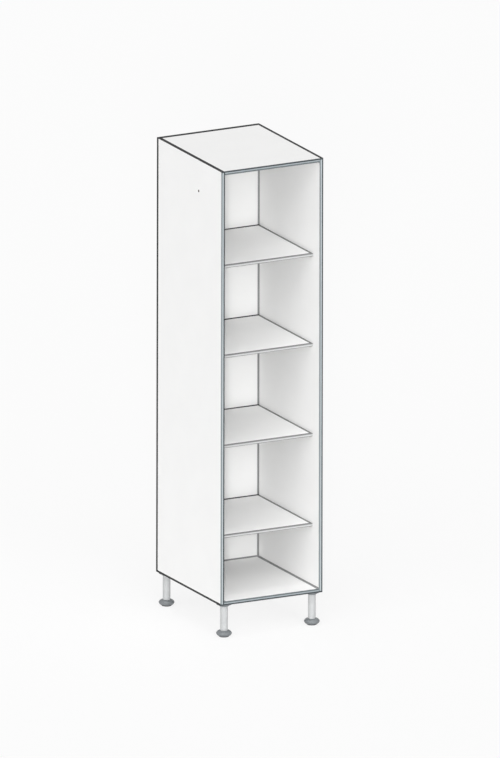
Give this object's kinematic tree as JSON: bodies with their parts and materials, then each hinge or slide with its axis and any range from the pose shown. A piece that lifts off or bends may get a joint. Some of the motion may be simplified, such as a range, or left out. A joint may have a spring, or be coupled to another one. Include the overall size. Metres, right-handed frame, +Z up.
{
  "type": "tall kitchen cabinet",
  "caption": "Tall narrow open-fronted kitchen cabinet carcass of white board with grey edging, loose shelves on pins, and round screw-adjustable legs with lens-shaped feet.",
  "frame": {"origin": "middle of the cabinet's footprint, on the floor", "axes": "+Z up, +X to the right seen from the open front, +Y from the open front to the back"},
  "size_m": [0.45, 0.56, 1.911],
  "materials": {
    "white_board": "white melamine, matt",
    "front_edging": "blue-grey ABS edging, matt",
    "shelf_edging": "pale grey ABS edging, matt",
    "edge_strip": "white ABS edging, matt",
    "white_plastic": "moulded, fine matt",
    "leg_tube": "moulded, satin",
    "grey_plastic": "moulded, fine matt",
    "rubber_pad": "matt",
    "beech_dowel": "bare",
    "zinc_steel": "zinc plated",
    "zinc_cast": "cast, bare",
    "nickel_pin": "nickel plated"
  },
  "bodies": {
    "carcass": {"left_panel": "white_board", "right_panel": "white_board", "top_panel": "white_board", "bottom_panel": "white_board", "back_panel": "white_board", "left_front_edging": "front_edging", "left_top_edging": "edge_strip", "left_rear_edging": "edge_strip", "left_bottom_edging": "edge_strip", "right_front_edging": "front_edging", "right_top_edging": "edge_strip", "right_rear_edging": "edge_strip", "right_bottom_edging": "edge_strip", "top_front_edging": "front_edging", "top_rear_edging": "edge_strip", "bottom_front_edging": "front_edging", "bottom_rear_edging": "edge_strip", "wood_dowels": "beech_dowel", "cam_bolts": "zinc_steel", "cam_housings": "zinc_cast", "cam_caps": "white_plastic", "leg_screws": "zinc_steel", "shelf_1_pins": "nickel_pin", "shelf_2_pins": "nickel_pin", "shelf_3_pins": "nickel_pin", "shelf_4_pins": "nickel_pin", "socket_front_left": "grey_plastic", "socket_front_right": "grey_plastic", "socket_rear_left": "grey_plastic", "socket_rear_right": "grey_plastic", "tube_front_left": "leg_tube", "tube_front_right": "leg_tube", "tube_rear_left": "leg_tube", "tube_rear_right": "leg_tube"},
    "shelf_1": {"shelf_1_board": "white_board", "shelf_1_edging": "shelf_edging"},
    "shelf_2": {"shelf_2_board": "white_board", "shelf_2_edging": "shelf_edging"},
    "shelf_3": {"shelf_3_board": "white_board", "shelf_3_edging": "shelf_edging"},
    "shelf_4": {"shelf_4_board": "white_board", "shelf_4_edging": "shelf_edging"},
    "glide_front_left": {"pad_front_left": "rubber_pad"},
    "screw_foot_front_left": {"foot_front_left": "grey_plastic"},
    "glide_front_right": {"pad_front_right": "rubber_pad"},
    "screw_foot_front_right": {"foot_front_right": "grey_plastic"},
    "glide_rear_left": {"pad_rear_left": "rubber_pad"},
    "screw_foot_rear_left": {"foot_rear_left": "grey_plastic"},
    "glide_rear_right": {"pad_rear_right": "rubber_pad"},
    "screw_foot_rear_right": {"foot_rear_right": "grey_plastic"}
  },
  "joints": [
    {"name": "shelf_1_draw", "type": "slide", "parent": "carcass", "child": "shelf_1", "axis": [0, -1, 0], "range_m": [0, 0.54]},
    {"name": "shelf_2_draw", "type": "slide", "parent": "carcass", "child": "shelf_2", "axis": [0, -1, 0], "range_m": [0, 0.54]},
    {"name": "shelf_3_draw", "type": "slide", "parent": "carcass", "child": "shelf_3", "axis": [0, -1, 0], "range_m": [0, 0.54]},
    {"name": "shelf_4_draw", "type": "slide", "parent": "carcass", "child": "shelf_4", "axis": [0, -1, 0], "range_m": [0, 0.54]},
    {"name": "foot_front_left_height", "type": "slide", "parent": "carcass", "child": "glide_front_left", "axis": [0, 0, -1], "range_m": [0, 0.012]},
    {"name": "foot_front_left_turn", "type": "hinge", "parent": "glide_front_left", "child": "screw_foot_front_left", "pos_m": [-0.194, -0.249, 0.012], "axis": [0, 0, -1], "range_deg": [0, 1080]},
    {"name": "foot_front_right_height", "type": "slide", "parent": "carcass", "child": "glide_front_right", "axis": [0, 0, -1], "range_m": [0, 0.012]},
    {"name": "foot_front_right_turn", "type": "hinge", "parent": "glide_front_right", "child": "screw_foot_front_right", "pos_m": [0.194, -0.249, 0.012], "axis": [0, 0, -1], "range_deg": [0, 1080]},
    {"name": "foot_rear_left_height", "type": "slide", "parent": "carcass", "child": "glide_rear_left", "axis": [0, 0, -1], "range_m": [0, 0.012]},
    {"name": "foot_rear_left_turn", "type": "hinge", "parent": "glide_rear_left", "child": "screw_foot_rear_left", "pos_m": [-0.194, 0.249, 0.012], "axis": [0, 0, -1], "range_deg": [0, 1080]},
    {"name": "foot_rear_right_height", "type": "slide", "parent": "carcass", "child": "glide_rear_right", "axis": [0, 0, -1], "range_m": [0, 0.012]},
    {"name": "foot_rear_right_turn", "type": "hinge", "parent": "glide_rear_right", "child": "screw_foot_rear_right", "pos_m": [0.194, 0.249, 0.012], "axis": [0, 0, -1], "range_deg": [0, 1080]}
  ],
  "couplings": [
    {"joint": "foot_front_left_height", "follows": "foot_front_left_turn", "m_per_rad": 0.00063662},
    {"joint": "foot_front_right_height", "follows": "foot_front_right_turn", "m_per_rad": 0.00063662},
    {"joint": "foot_rear_left_height", "follows": "foot_rear_left_turn", "m_per_rad": 0.00063662},
    {"joint": "foot_rear_right_height", "follows": "foot_rear_right_turn", "m_per_rad": 0.00063662}
  ]
}
